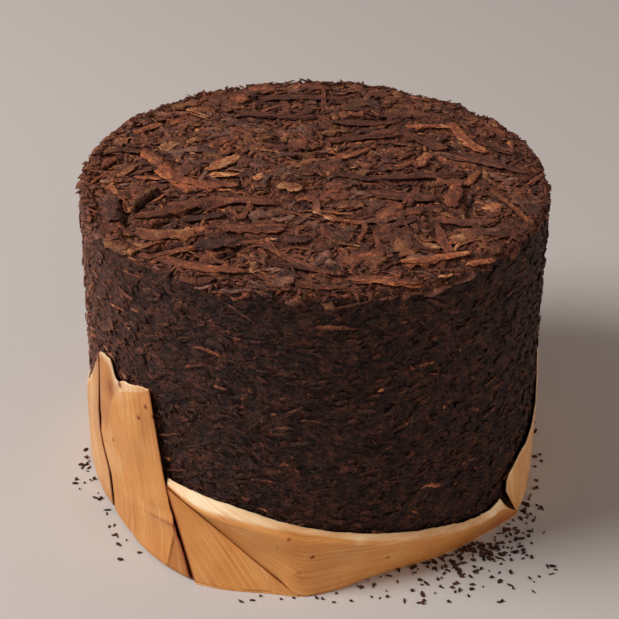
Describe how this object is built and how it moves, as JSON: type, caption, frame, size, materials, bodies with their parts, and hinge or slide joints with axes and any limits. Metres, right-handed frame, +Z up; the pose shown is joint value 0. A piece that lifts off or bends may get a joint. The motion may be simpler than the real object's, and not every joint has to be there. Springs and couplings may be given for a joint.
{
  "type": "pu erh tea column",
  "caption": "Squat drum of compressed pu erh tea leaves standing in the torn open remains of its bamboo sheath wrapper.",
  "frame": {"origin": "on the floor under the middle of the drum, in the plane of the base sheath's underside", "axes": "+Z up along the drum's axis, -Y towards the front with the low folded band, +X to the right"},
  "size_m": [0.2344, 0.2449, 0.1605],
  "materials": {
    "compressed_tea": "dry pressed leaf, matt with a faint sheen on the leaf faces",
    "bamboo_sheath": "dry culm sheath with fine grain, satin outside and pale cream inside"
  },
  "bodies": {
    "root": {"tea_column": "compressed_tea", "sheath_left": "bamboo_sheath", "sheath_front": "bamboo_sheath", "sheath_right": "bamboo_sheath", "sheath_back": "bamboo_sheath"}
  },
  "joints": []
}
